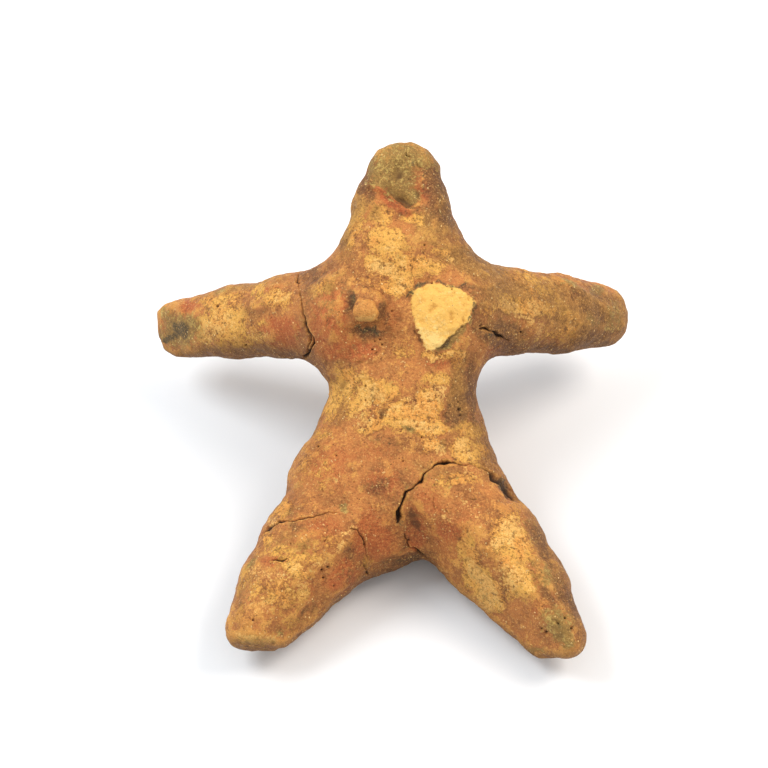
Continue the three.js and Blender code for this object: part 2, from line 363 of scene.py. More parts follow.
seeds = {
    "bumps": 3, "crack": 31, "opening": 35, "soft": 51, "nub": 61, "nubGrain": 63, "scar": 71,
    "scarRipple": 73, "scarGrain": 75, "scarSwell": 76, "moat": 78, "headGrain": 81, "wearAndShade": 91,
    "wearRipple": 95, "clouds": 121,
}


def rimDistance(spots, rim):
    # pixels inside a closed rim, negative outside
    nearest, _ = routeDistance(spots, rim + rim[:1])
    inside = np.zeros(len(spots), bool)
    for (x0, y0), (x1, y1) in zip(rim, rim[1:] + rim[:1]):
        spans = (y0 > spots[:, 1]) != (y1 > spots[:, 1])
        if y0 != y1:
            inside ^= spans & (spots[:, 0] < (x1 - x0) * (spots[:, 1] - y0) / (y1 - y0) + x0)
    return np.where(inside, nearest, -nearest)


def fadeOut(spots, oval, fall=1.3):
    # 1 in the middle of an oval and less and less past its rim
    return np.exp(-fall * ovalDistance(spots, oval) ** 2)


def wanderedSpots(spots, points, amount, size, seed):
    # picture places moved a little at random, so that a drawn line or rim looks broken
    shift = [roughness(points, size, seed + side, 2) for side in (0, 1)]
    return spots + amount * np.stack(shift, axis=1)


def scarInside(points, spots):
    # pixels inside the scar's ragged rim
    moved = wanderedSpots(spots, points, *scar["wander"], seeds["scar"])
    return rimDistance(wanderedSpots(moved, points, *scar["ripple"], seeds["scarRipple"]), scar["rim"])


def crackDepth(points, spots):
    spots = wanderedSpots(spots, points, *crackLook["wander"], seeds["crack"])
    varies = crackLook["openVaries"] * roughness(points, crackLook["breaks"], seeds["opening"], 2)
    openness = crackLook["width"] * (crackLook["open"] + varies)
    deepest = np.zeros(len(points))
    dark = np.zeros(len(points))
    for route in cracks.values():
        gap, halfWidth = routeDistance(spots, route)
        halfWidth = halfWidth * openness
        part = gap * camera["pixel"] / np.maximum(halfWidth, crackLook["thinnest"])
        depth = np.minimum(halfWidth * crackLook["depthForWidth"], crackLook["deepest"])
        deepest = np.maximum(deepest, depth * np.exp(-part ** 2))
        shadow = np.exp(-(part / crackLook["darkReach"]) ** 2)
        dark = np.maximum(dark, shadow * ease(halfWidth, 0.0, crackLook["darkWidth"]))
    return deepest, dark


def poreDepth(spots):
    deepest = np.zeros(len(spots))
    dark = np.zeros(len(spots))
    for x, y, radius in pores:
        part = np.hypot(spots[:, 0] - x, spots[:, 1] - y) * camera["pixel"] / radius
        deepest = np.maximum(deepest, poreLook["depthForRadius"] * radius * np.exp(-part ** 2))
        dark = np.maximum(dark, poreLook["dark"] * np.exp(-(part / poreLook["darkReach"]) ** 2))
    return deepest, dark


def relief(points, spots, seen):
    # how far each point moves out of the clay, in mm, and the dark of its cracks and pores
    height = np.zeros(len(points))
    for index, (size, high) in enumerate(clayBumps):
        height += high * roughness(points, size, seeds["bumps"] + index)
    soft = wanderedSpots(spots, points, *markLook["wander"], seeds["soft"])
    made = np.zeros(len(points))
    for mark in fingerMarks.values():
        made += mark[5] * fadeOut(soft, mark, markLook["fingerFall"])
    for high, halfWide, route in ridges.values():
        gap, _ = routeDistance(soft, route)
        made += high * np.maximum(1 - gap / halfWide, 0.0) ** markLook["ridgeCrest"]

    # the nub stands over a small shadowed shelf, and its lower face is worn flat
    away = np.abs(wanderedSpots(spots, points, *nub["wander"], seeds["nub"]) - nub["middle"]) / nub["half"]
    square = np.sum(away ** nub["squareness"], axis=1) ** (1 / nub["squareness"])
    top, bottom = nub["facet"]
    proud = nub["height"] * ease(spots[:, 1], *nub["brow"])
    proud -= nub["facetFall"] * np.clip((spots[:, 1] - top) / (bottom - top), 0.0, 1.0)
    made += proud * ease(nub["reach"] - square, 0.0, nub["side"])
    made += nub["swellHeight"] * fadeOut(soft, nub["swell"])
    made -= nub["shelfDepth"] * fadeOut(spots, nub["shelf"])
    made -= nub["moatDepth"] * fadeOut(spots, nub["moat"])
    grained = ease(nub["grainReach"] - square, 0.0, nub["grainFade"]) * nub["grain"]
    made += grained * roughness(points, nub["grainSize"], seeds["nubGrain"], 3)

    # the scar is a low plateau of rough fresh clay in a narrow moat
    ragged = scarInside(points, spots)
    onScar = ease(ragged, *scar["edge"])
    made += scar["height"] * onScar
    rough = roughness(points, scar["grainSize"], seeds["scarGrain"], 3)
    rough += scar["swell"] * roughness(points, scar["swellSize"], seeds["scarSwell"])
    made += onScar * scar["grain"] * rough
    moat = scar["moat"] * np.exp(-((ragged + scar["moatOut"]) / scar["moatHalf"]) ** 2)
    made -= moat * ease(roughness(points, scar["moatBreaks"], seeds["moat"], 2), *scar["moatGaps"])

    # the broken head: a flat olive face with a torn lip below it
    onBreak = ease(rimDistance(soft, headBreak["rim"]), *headBreak["edge"])
    made += onBreak * headBreak["grain"] * roughness(points, headBreak["grainSize"], seeds["headGrain"], 3)
    gap, _ = routeDistance(soft, headBreak["lip"])
    made += headBreak["lipHeight"] * np.exp(-(gap / headBreak["lipHalf"]) ** 2)
    made -= headBreak["hollowDepth"] * fadeOut(spots, headBreak["hollow"], headBreak["fall"])
    made += headBreak["cheekHeight"] * fadeOut(soft, headBreak["cheek"], headBreak["fall"])

    crackDeep, crackDark = crackDepth(points, spots)
    poreDeep, poreDark = poreDepth(spots)
    made -= np.maximum(crackDeep, poreDeep)
    return height + seen * made, seen * np.maximum(crackDark, poreDark)


# Wear on the sides that the picture doesn't show: most of each colour, and between which cloud values
hiddenWear = {
    "ochre": (0.8, 0.0, 0.6), "cream": (0.6, 0.45, 1.0), "red": (0.7, -0.1, 0.6), "tan": (0.8, -0.3, 0.5),
    "plumAndShade": (0.6, 0.3, 0.9), "olive": (0.6, 0.55, 1.0), "rust": (0.5, 0.5, 1.0), "sootAndShade": (0.0, 0.0, 1.0),
}

# Wear and painted shade: each colour of the clay is a set of ragged ovals in the picture (x, y, half sizes,
# turn, strength)
wearAndShade = {
    "ochre": [
        (398, 284, 16, 16, 0, 1), (515, 308, 26, 8, 12, 1), (484, 580, 12, 36, -35, 1),
        (370, 560, 6, 10, 0, .6), (418, 431, 26, 8, 5, 1), (478, 452, 14, 12, 0, .7),
        (422, 263, 26, 11, 10, .85), (254, 642, 20, 8, 0, 1), (462, 452, 16, 9, 20, .9),
        (478, 572, 9, 30, -33, 1), (492, 600, 9, 18, -38, 1), (468, 446, 10, 14, -20, .8),
        (382, 266, 22, 11, 42, 1), (372, 394, 16, 10, 0, 1), (408, 428, 24, 9, 0, 1),
        (434, 447, 18, 9, 10, .8), (484, 588, 12, 30, -38, .95), (468, 548, 9, 24, -20, .8),
        (330, 400, 8, 26, 0, .9), (457, 354, 12, 6, 0, .8), (278, 299, 18, 10, 0, .8),
        (208, 330, 16, 18, 0, .8), (250, 570, 8, 30, 20, .5), (326, 480, 14, 22, 20, .4),
        (352, 228, 11, 28, 12, .7), (378, 213, 16, 12, 10, .8), (386, 240, 26, 16, 30, .95),
        (405, 262, 20, 11, 35, 1), (408, 284, 8, 14, -15, .8), (413, 218, 18, 9, 0, .75),
        (440, 250, 20, 7, 20, .5), (453, 261, 6, 6, 0, .7), (372, 283, 20, 14, 20, .45),
        (327, 287, 12, 10, 0, .6), (436, 355, 14, 5, 0, .8), (400, 352, 16, 10, 0, .5),
        (458, 360, 8, 12, 20, .5), (348, 384, 14, 20, 0, .75), (368, 383, 16, 7, 35, .9),
        (388, 390, 14, 10, 0, .85), (360, 405, 17, 14, 0, .85), (396, 414, 27, 14, 0, .95),
        (376, 426, 18, 8, 0, .9), (426, 404, 14, 22, 0, .95), (438, 378, 13, 9, 0, .9),
        (436, 427, 18, 8, 10, .9), (472, 430, 24, 8, 5, .85), (324, 436, 14, 8, -30, .5),
        (463, 449, 9, 13, -30, .9), (474, 462, 9, 4, 30, .7), (305, 467, 6, 16, 20, .45),
        (281, 508, 9, 14, 20, .8), (269, 536, 9, 9, -30, .6), (284, 549, 26, 8, -6, .65),
        (297, 572, 20, 9, 20, .8), (280, 590, 24, 15, 0, .6), (292, 600, 22, 10, -30, .65),
        (258, 594, 8, 12, 0, .6), (243, 612, 7, 12, 0, .5), (290, 622, 16, 10, -30, .5),
        (457, 476, 25, 8, 5, .6), (439, 485, 14, 7, 0, .5), (513, 517, 8, 8, 30, .6),
        (512, 545, 24, 34, -15, .85), (520, 580, 26, 20, 30, .8), (494, 548, 12, 12, 0, .6),
        (300, 560, 30, 10, -10, .6), (228, 324, 27, 27, 0, .85), (217, 300, 26, 8, -10, .75),
        (258, 291, 11, 7, 0, .7), (248, 341, 24, 8, -5, .65), (264, 324, 9, 5, 0, .6),
        (508, 273, 12, 5, 10, .45), (533, 278, 14, 6, 15, .6), (518, 302, 15, 8, 10, .65),
        (540, 292, 24, 10, 12, .55), (560, 309, 28, 11, 15, .45), (563, 334, 34, 10, -8, .55),
        (489, 311, 8, 6, 20, .5), (510, 590, 22, 14, 0, .5), (456, 480, 18, 9, 0, .65),
        (322, 544, 16, 9, -20, .45), (540, 308, 20, 12, 5, .75), (335, 400, 7, 20, 0, .85),
    ],
    "cream": [
        (400, 287, 9, 10, 0, .8), (380, 270, 13, 6, 40, .95), (484, 582, 9, 32, -35, 1),
        (416, 431, 22, 5, 5, 1), (360, 412, 10, 12, 0, .5), (470, 510, 14, 6, 30, .4),
        (392, 272, 12, 9, 30, .8), (430, 262, 12, 5, 10, .6), (452, 261, 8, 6, 0, .7),
        (401, 168, 8, 11, 0, .45), (511, 306, 15, 6, 15, 1), (538, 312, 14, 4, 30, .7),
        (212, 333, 10, 11, 0, .85), (366, 402, 9, 14, 0, .75), (437, 392, 8, 12, 0, .8),
        (465, 449, 13, 6, 15, .8), (254, 642, 18, 6, 0, 1), (262, 338, 10, 5, 0, .6),
        (486, 602, 8, 14, -38, .9), (408, 405, 9, 7, 0, .6), (470, 470, 12, 4, 20, .5),
        (440, 516, 12, 5, 20, .5), (491, 600, 7, 14, -38, .8), (370, 317, 8, 3.5, -10, .95),
        (400, 279, 9, 8, 0, .7), (467, 445, 6, 9, -20, .7), (384, 266, 17, 6, 44, .85),
        (374, 393, 12, 7, 0, .85), (408, 427, 17, 5, 0, .85), (434, 447, 12, 5, 10, .6),
        (256, 639, 18, 5, 0, .9), (206, 332, 12, 12, 0, .6), (457, 354, 9, 4, 0, .7),
        (330, 396, 5, 20, 0, .6), (280, 296, 12, 5, 0, .6), (402, 263, 14, 6, 30, .6),
        (390, 246, 12, 7, 20, .55), (366, 381, 14, 4, 35, .8), (394, 412, 17, 8, 0, .6),
        (427, 398, 8, 14, 0, .6), (440, 376, 9, 6, 0, .5), (368, 422, 10, 6, 0, .6),
        (428, 427, 16, 4, 15, .6), (461, 448, 7, 9, -30, .85), (441, 453, 9, 4, -10, .8),
        (225, 322, 17, 17, 0, .65), (221, 302, 12, 5, 0, .4), (281, 301, 14, 3, -8, .8),
        (501, 305, 11, 5, 20, .7), (516, 315, 14, 4, 35, .9), (531, 322, 9, 5, 45, .8),
        (540, 333, 5, 9, 10, .7), (513, 529, 13, 13, 10, .85), (502, 545, 16, 9, 0, .8),
        (527, 541, 9, 10, 0, .6), (513, 576, 20, 15, 30, .75), (531, 590, 8, 8, 0, .6),
        (262, 575, 14, 10, 0, .45), (286, 573, 18, 8, 10, .55), (262, 603, 12, 10, 0, .4),
        (300, 592, 16, 10, -30, .4), (325, 402, 6, 10, 0, .4), (350, 384, 10, 10, 0, .4),
        (345, 532, 10, 4, -40, .75), (338, 549, 12, 4, -45, .7), (321, 562, 14, 4, -35, .7),
        (298, 570, 12, 6, 0, .6), (284, 586, 10, 6, 0, .4), (253, 594, 5, 7, 0, .5),
        (437, 357, 10, 3, 0, .6), (337, 479, 4, 3, 0, .8), (487, 521, 6, 4, 0, .7), (445, 468, 4, 3, 0, .6),
        (375, 288, 8, 4, 0, .3), (271, 523, 7, 3, -35, .7), (469, 296, 6, 3, 0, .5),
        (367, 319, 9, 5, -5, 1), (540, 306, 14, 5, 10, .6), (394, 178, 12, 14, 0, .4),
        (258, 641, 20, 6, -5, .9), (242, 636, 7, 4, 40, .6),
    ],
    "red": [
        (332, 312, 20, 44, 0, .75), (347, 350, 30, 14, 0, .8), (390, 318, 12, 26, 0, .4),
        (282, 335, 26, 20, 0, .8), (272, 288, 14, 9, 0, .6), (190, 306, 12, 8, -20, .8),
        (284, 303, 14, 12, 0, .4), (330, 465, 34, 30, 0, .5), (372, 452, 34, 14, 0, .4),
        (385, 482, 26, 18, 0, .6), (428, 508, 22, 20, 0, .5), (450, 532, 26, 22, 0, .55),
        (470, 510, 24, 12, 0, .4), (414, 540, 12, 24, 0, .7), (320, 532, 34, 16, -10, .55),
        (372, 535, 26, 30, 0, .75), (345, 578, 22, 16, -30, .8), (262, 640, 26, 12, 0, .35),
        (272, 560, 14, 6, 0, .6), (308, 590, 14, 8, 0, .4), (405, 252, 10, 4, 0, .6),
        (424, 187, 9, 12, -15, .9), (384, 197, 16, 4, 36, .9), (403, 209, 9, 4, 30, .9),
        (500, 350, 18, 9, -10, .8), (475, 270, 10, 6, 0, .4), (545, 607, 20, 8, 0, .5),
        (560, 595, 8, 16, -20, .4), (520, 640, 20, 12, 20, .3), (437, 362, 24, 6, 0, .4),
        (368, 186, 6, 16, 10, .5), (610, 303, 10, 8, 30, .5), (364, 172, 8, 20, 15, .8),
    ],
    # tan is a browner clay, and painted shade along the right side of the neck, shoulder, arm, waist and leg
    # and along the edges of the left arm
    "tan": [
        (400, 152, 40, 20, 0, 1), (352, 225, 8, 40, 10, .7), (350, 215, 12, 46, 12, .85),
        (432, 226, 26, 20, 20, .9), (444, 190, 14, 54, -15, 1), (474, 262, 50, 15, 22, 1),
        (422, 262, 20, 10, 20, .3), (530, 298, 60, 26, 8, 1), (590, 318, 50, 30, 0, 1),
        (505, 335, 30, 14, 15, .8), (458, 396, 14, 46, 5, .9), (482, 450, 20, 30, -15, .6),
        (340, 392, 12, 34, 0, .7), (330, 285, 26, 14, -20, .6), (240, 286, 56, 7, -8, .7),
        (240, 350, 60, 7, 0, .65), (310, 455, 20, 40, 25, .35), (548, 560, 14, 60, -22, .7),
        (572, 610, 14, 30, -12, .6), (480, 600, 30, 14, 40, .4), (286, 540, 30, 12, -30, .5),
        (245, 590, 12, 40, 12, .5), (298, 620, 26, 10, -35, .5), (440, 470, 40, 10, 0, .5),
        (400, 200, 20, 14, 0, .4), (395, 445, 30, 8, 0, .3),
    ],
    # plum is a dark purple-brown clay, and painted shade beside and under the nub, under the crotch and along
    # the underside of the right arm
    "plumAndShade": [
        (308, 272, 16, 8, -20, .7), (345, 288, 5, 12, 15, .5), (436, 215, 12, 14, -20, .5),
        (420, 206, 8, 8, 0, .4), (352, 222, 5, 16, 12, .4), (520, 345, 24, 7, 0, .5),
        (303, 325, 6, 20, 0, .4), (562, 560, 6, 20, -20, .3), (296, 490, 8, 12, 20, .35),
        (368, 180, 9, 30, 8, .85), (374, 210, 10, 11, 0, .6), (433, 202, 9, 26, -15, .75),
        (404, 250, 5, 8, 0, .4), (326, 312, 14, 26, 0, .35), (552, 600, 7, 24, -25, .75),
        (292, 512, 14, 9, 0, .5), (298, 530, 10, 8, 0, .5), (408, 490, 14, 22, 10, .45),
        (344, 508, 10, 12, 0, .3), (242, 602, 8, 22, 10, .35), (590, 296, 30, 7, 20, .5),
        (362, 178, 7, 26, 10, .75), (461, 287, 17, 6, 18, .75), (408, 559, 28, 8, -8, .85),
        (402, 540, 10, 14, 0, .5), (310, 300, 6, 22, 0, .45), (314, 350, 12, 14, 30, .5),
        (320, 268, 20, 6, -25, .5), (536, 572, 8, 20, -25, .5), (431, 188, 8, 26, -12, .9),
        (500, 341, 26, 11, 15, .9), (474, 395, 7, 40, 0, .85), (542, 548, 6, 42, -28, .75),
        (571, 602, 8, 28, -20, .75), (472, 291, 24, 7, 10, .55), (308, 285, 6, 16, 0, .6),
        (300, 548, 14, 7, 0, .45), (310, 608, 22, 8, -40, .5), (350, 577, 12, 12, 0, .5),
        (402, 500, 8, 18, 20, .5), (334, 290, 8, 16, 10, .45), (600, 320, 26, 22, 0, .35),
        (560, 300, 40, 10, 10, .3), (440, 182, 8, 22, -12, .9), (455, 214, 6, 22, -25, .7),
        (350, 196, 4, 26, 10, .7), (364, 200, 3, 22, 8, .5), (343, 238, 5, 14, 20, .5),
        (600, 334, 34, 10, -10, .8), (560, 351, 56, 5, 0, .8), (590, 312, 26, 6, 25, .6),
        (350, 303, 5, 13, 0, .9), (384, 314, 4, 13, 0, .7), (367, 331, 18, 5, 0, 1),
        (478, 320, 8, 20, 10, .6), (388, 190, 16, 8, 35, .5), (392, 262, 5, 10, 0, .2),
        (255, 312, 14, 9, 0, .5), (379, 487, 18, 12, -10, .6), (385, 443, 14, 6, 0, .5),
        (447, 447, 9, 8, 0, .5), (451, 418, 12, 14, 0, .7), (460, 402, 8, 14, 0, .5),
        (353, 391, 4, 10, 0, .5), (381, 416, 4, 13, 5, .75), (447, 205, 9, 30, -15, .45),
        (477, 306, 5, 12, -25, .8), (508, 328, 28, 9, 18, .65), (481, 262, 24, 6, 25, .45),
        (415, 268, 22, 8, 0, .25), (312, 276, 16, 5, -20, .7), (352, 300, 4, 9, 0, .6),
        (386, 316, 6, 14, 0, .6), (366, 332, 16, 6, 0, .7), (355, 350, 22, 5, 0, .3),
        (352, 553, 7, 12, 10, .6), (410, 529, 8, 20, 0, .4), (437, 541, 7, 7, 0, .4),
        (330, 503, 14, 7, -10, .35), (298, 526, 8, 5, 0, .4), (580, 295, 16, 4, 28, .7),
        (412, 240, 8, 6, 0, .2), (410, 206, 12, 3, 10, .6), (520, 560, 8, 5, 20, .4),
        (305, 321, 5, 26, 0, .3), (426, 187, 9, 13, -15, .8), (447, 214, 9, 18, -20, .7),
        (432, 176, 6, 14, -20, .8), (398, 566, 22, 5, -12, .8),
    ],
    "olive": [
        (456, 338, 13, 5, -45, 1), (474, 323, 5, 8, 20, .9), (447, 343, 15, 6, -42, .9),
        (474, 318, 5, 12, 20, .7), (462, 331, 10, 5, -40, .7), (413, 290, 3, 8, 40, .7),
        (392, 172, 28, 26, 10, .95), (404, 191, 14, 11, 0, .95), (402, 152, 30, 12, 0, .75),
        (424, 158, 12, 12, 0, .65), (431, 163, 8, 12, -25, .6), (180, 331, 24, 20, 0, .95),
        (166, 316, 11, 10, 0, .7), (215, 287, 34, 4, -10, .5), (367, 318, 10, 5, 0, .4),
        (421, 286, 12, 4, -20, .7), (447, 341, 12, 5, -45, .8), (330, 276, 16, 4, -25, .3),
        (571, 285, 13, 5, 25, .7), (600, 291, 10, 8, 20, .8), (592, 320, 6, 6, 0, .7),
        (615, 316, 11, 14, 0, .6), (612, 327, 12, 5, 0, .6), (407, 434, 7, 3, 20, .9),
        (343, 505, 5, 7, 30, .8), (334, 480, 6, 4, 0, .4), (254, 563, 6, 14, 25, .7),
        (256, 642, 22, 6, 0, .45), (281, 629, 9, 9, -30, .6), (477, 579, 5, 12, -30, .4),
        (489, 596, 4, 5, -30, .5), (549, 577, 8, 12, -15, .75), (560, 623, 16, 12, 20, .8),
        (567, 640, 14, 9, 0, .8), (535, 650, 10, 5, 0, .7), (549, 614, 6, 5, 0, .6),
        (453, 490, 5, 3, 0, .4), (460, 476, 5, 3, 0, .6), (425, 478, 6, 6, 0, .5),
        (409, 490, 9, 4, -30, .5), (395, 384, 3, 7, 0, .5), (398, 424, 5, 4, 0, .4),
        (291, 601, 6, 5, 0, .5), (313, 565, 6, 6, 0, .4), (488, 520, 5, 4, 0, .4),
        (440, 210, 10, 12, 0, .25), (560, 630, 15, 12, 0, 1),
    ],
    "rust": [
        (375, 188, 6, 3, 15, .9), (383, 193, 13, 5, 30, 1), (395, 203, 11, 5.5, 42, 1),
        (404, 212, 10, 4.5, 20, 1), (423, 188, 8, 11, -15, .95), (430, 200, 6, 8, -20, .6),
        (442, 350, 6, 4, -30, .7), (463, 289, 6, 3, 20, .6), (500, 349, 18, 7, -10, .85),
        (438, 362, 20, 4, 0, .5), (350, 346, 26, 9, 0, .5), (322, 330, 12, 20, 0, .45),
        (284, 330, 16, 16, 0, .6), (190, 306, 9, 6, -20, .7), (374, 545, 20, 16, 0, .5),
        (345, 580, 18, 10, -30, .6), (414, 545, 10, 16, 0, .5), (452, 532, 20, 14, 0, .45),
        (405, 253, 9, 3, 0, .6), (320, 530, 22, 8, -10, .4), (384, 470, 22, 12, 0, .35),
        (556, 600, 8, 10, -20, .4), (336, 312, 8, 20, 0, .3), (270, 290, 10, 6, 0, .4),
    ],
    # soot-dark marks: real dark stains, and painted shade under the nub, under the crotch, along the lip of
    # the broken head, round the scar's rim and in the armpit
    "sootAndShade": [
        (412, 562, 20, 3, -6, .55), (460, 284, 14, 1.6, 16, .6), (492, 334, 10, 3.5, 20, .6),
        (480, 424, 3, 22, -15, .5), (506, 485, 9, 6, 20, .9), (437, 198, 3, 22, -12, .5),
        (413, 163, 3, 8, -30, .6), (420, 174, 3, 7, -20, .5), (181, 327, 8, 7, 30, 1),
        (171, 339, 10, 4, -10, .9), (402, 205, 9, 2.5, 20, .7), (366, 328, 12, 2.5, 0, .8),
        (351, 300, 3, 8, 0, .7), (410, 294, 1.8, 9, 22, .8), (446, 344, 9, 3, -45, .7),
        (475, 313, 2.5, 9, 15, .7), (423, 282, 11, 1.8, -20, .9), (476, 304, 3, 9, -30, .7),
        (470, 320, 3, 8, 15, .6), (407, 434, 4, 2, 20, .7), (444, 282, 11, 1.6, 12, .75),
        (371, 331, 9, 4, 0, .5), (321, 274, 6, 3, 0, .5), (460, 409, 2, 9, 0, .5), (560, 620, 7, 5, 0, .4),
        (343, 501, 3, 5, 30, .4), (400, 517, 4, 12, 0, .5), (423, 478, 5, 5, 0, .4),
        (560, 631, 9, 8, 0, .45), (180, 331, 9, 8, 30, 1), (406, 562, 26, 4, -8, .7),
    ],
}
wearAndShadeEdges = {
    "wander": (5.0, 3.2), "ripple": (2.2, 1.1),    # pixels and mm, how far and how coarsely an edge strays
    "solid": 0.35, "gone": 1.45,    # share of an oval's size where it begins to fade and is gone
    "cloud": 9.0,                   # mm, patches on the hidden sides
}


def wearAndShadeShares(points, spots, seen):
    # how much of each colour lies on each point; out of the picture it follows random cloudy patches
    moved = wanderedSpots(spots, points, *wearAndShadeEdges["wander"], seeds["wearAndShade"])
    moved = wanderedSpots(moved, points, *wearAndShadeEdges["ripple"], seeds["wearRipple"])
    shares = {}
    for index, (kind, ovals) in enumerate(wearAndShade.items()):
        share = np.zeros(len(points))
        for oval in ovals:
            fade = 1 - ease(ovalDistance(moved, oval), wearAndShadeEdges["solid"], wearAndShadeEdges["gone"])
            share = np.maximum(share, oval[5] * fade)
        cloud = roughness(points, wearAndShadeEdges["cloud"], seeds["clouds"] + index, 3)
        most, low, high = hiddenWear[kind]
        shares[kind] = seen * share + (1 - seen) * most * ease(cloud, low, high)
    return shares


# Painted shade: the undersides and the right flanks are made darker than the rest: strength, and how far a
# face turns that way
flankShadeLook = {"right": 0.8, "turnedRight": (0.3, 0.95), "turnedDown": (-0.35, 0.6), "soften": 4}
hollowLook = {"reach": 4, "deep": 0.12}    # rounds of neighbours, and mm under them of a full hollow


def storeShare(mesh, name, values):
    layer = mesh.attributes.new(name, "FLOAT", "POINT")
    layer.data.foreach_set("value", np.clip(values, -1.0, 1.0).astype(np.float32))


def makeSkin():
    mesh = fineSkin()
    lines = [[spot[:2] for spot in route] for route in cracks.values()]
    fineLines = lines + [scar["rim"] + scar["rim"][:1], headBreak["lip"]]
    nubX, nubY, nubReach = skin["fineNub"]
    for near, chosen in [("fineNear", fineLines), ("finestNear", lines)]:
        points = pointsOf(mesh)
        spots, facing = pictureOf(points), normalsOf(mesh) @ towardCamera
        gap = np.min([routeDistance(spots, line)[0] for line in chosen], axis=0)
        poreGap = np.min([np.hypot(spots[:, 0] - x, spots[:, 1] - y) for x, y, _ in pores], axis=0)
        gap = np.minimum(gap, poreGap + skin["poreLess"][near])
        if near == "fineNear":
            gap = np.where(np.hypot(spots[:, 0] - nubX, spots[:, 1] - nubY) < nubReach, 0.0, gap)
        halveFaces(mesh, (gap < skin[near]) & (facing > 0.0))
    points, edges, normals = pointsOf(mesh), edgesOf(mesh), normalsOf(mesh)
    onSeat = points[:, 2] <= skin["onTable"]
    seen = seenFromCamera(points, normals, edges, mesh)
    spots = pictureOf(points)
    height, dark = relief(points, spots, seen)
    height = np.where(onSeat, 0.0, height * ease(points[:, 2], 0.0, skin["seatFade"]))
    moved = points + height[:, None] * normals
    moved[:, 2] = np.maximum(moved[:, 2], 0.0)
    mesh.vertices.foreach_set("co", (moved * mm).ravel())
    mesh.update()

    # hollows and edges, found from how far each point lies under its neighbourhood's mean; the shader paints
    # shade into the hollows
    mean = relax(moved, edges, hollowLook["reach"], keepSize=False)
    bend = np.einsum("ij,ij->i", mean - moved, normalsOf(mesh))
    bend = relax(bend, edges, 1, keepSize=False)
    for kind, share in wearAndShadeShares(points, spots, seen).items():
        storeShare(mesh, kind, share)
    storeShare(mesh, "crack", dark)
    # painted shade: faces turned down or to the right get a darker colour
    facing = relax(normals, edges, flankShadeLook["soften"], keepSize=False)
    under = 1 - ease(facing[:, 2], *flankShadeLook["turnedDown"])
    right = flankShadeLook["right"] * ease(facing[:, 0], *flankShadeLook["turnedRight"])
    storeShare(mesh, "flankShade", np.maximum(under, right))
    storeShare(mesh, "hollow", bend / hollowLook["deep"])
    storeShare(mesh, "scar", seen * ease(scarInside(points, spots), *scar["freshEdge"]))
    mesh.polygons.foreach_set("use_smooth", np.ones(len(mesh.polygons), bool))
    piece = bpy.data.objects.new("claySkin", mesh)
    scene.collection.objects.link(piece)
    triangles = sum(len(face.vertices) - 2 for face in mesh.polygons)
    print("skin:", len(mesh.vertices), "points,", triangles, "triangles")
    return piece


# Shaders

def addNode(tree, kind, settings=None, inputs=None):
    # a node with its settings, then the values or links of its sockets
    made = tree.nodes.new(kind)
    for name, value in (settings or {}).items():
        setattr(made, name, value)
    for name, value in (inputs or {}).items():
        plug(tree, made.inputs[name], value)
    return made


def plug(tree, socket, value):
    value = getattr(value, "socket", value)
    if isinstance(value, bpy.types.NodeSocket):
        tree.links.new(value, socket)
    else:
        socket.default_value = value


class Reading:
    # a value that changes over the surface, for use in sums

    def __init__(self, finish, socket):
        self.finish, self.socket = finish, socket

    def math(self, operation, first, second, **settings):
        return self.finish.node("ShaderNodeMath", {"operation": operation, **settings}, {0: first, 1: second})

    def __add__(self, other):
        return self.math("ADD", self, other)

    def __radd__(self, other):
        return self.math("ADD", other, self)

    def __sub__(self, other):
        return self.math("SUBTRACT", self, other)

    def __rsub__(self, other):
        return self.math("SUBTRACT", other, self)

    def __mul__(self, other):
        return self.math("MULTIPLY", self, other)

    def __rmul__(self, other):
        return self.math("MULTIPLY", other, self)

    def orMore(self, other):
        return self.math("MAXIMUM", self, other, use_clamp=True)

    def between(self, low, high):
        # 0 at low, 1 at high and smooth between
        return self.finish.node(
            "ShaderNodeMapRange", {"interpolation_type": "SMOOTHSTEP"},
            {"Value": self, "From Min": low, "From Max": high})


class Finish:
    # one material and the nodes in it

    def __init__(self, name):
        self.material = bpy.data.materials.new(name)
        self.material.use_nodes = True
        self.tree = self.material.node_tree
        self.shader = self.tree.nodes["Principled BSDF"]

    def node(self, kind, settings=None, inputs=None, output=0):
        return Reading(self, addNode(self.tree, kind, settings, inputs).outputs[output])

    def place(self):
        return self.node("ShaderNodeTexCoord", output="Object")

    def share(self, name):
        return self.node("ShaderNodeAttribute", {"attribute_name": name}, output="Fac")

    def noise(self, size, detail=2.0, rough=0.55):
        return self.node("ShaderNodeTexNoise", {}, {
            "Vector": self.place(), "Scale": 1 / (size * mm), "Detail": detail, "Roughness": rough})

    def spots(self, size):
        return self.node("ShaderNodeTexVoronoi", {}, {
            "Vector": self.place(), "Scale": 1 / (size * mm)}, output="Distance")

    def blend(self, share, under, over):
        return self.node(
            "ShaderNodeMix", {"data_type": "RGBA"}, {"Factor": share, 6: under, 7: over}, output=2)

    def set(self, values):
        for name, value in values.items():
            plug(self.tree, self.shader.inputs[name], value)


stageLight = (1.04, 1.07, 1.3)    # how much brighter than its own colour the stage's light shows a thing


def shade(red, green, blue):
    # a colour as it looks under the stage's light, 0 to 255, made the linear colour of the clay itself
    linear = [((value / 255 + 0.055) / 1.055) ** 2.4 for value in (red, green, blue)]
    return tuple(value / strength for value, strength in zip(linear, stageLight)) + (1.0,)


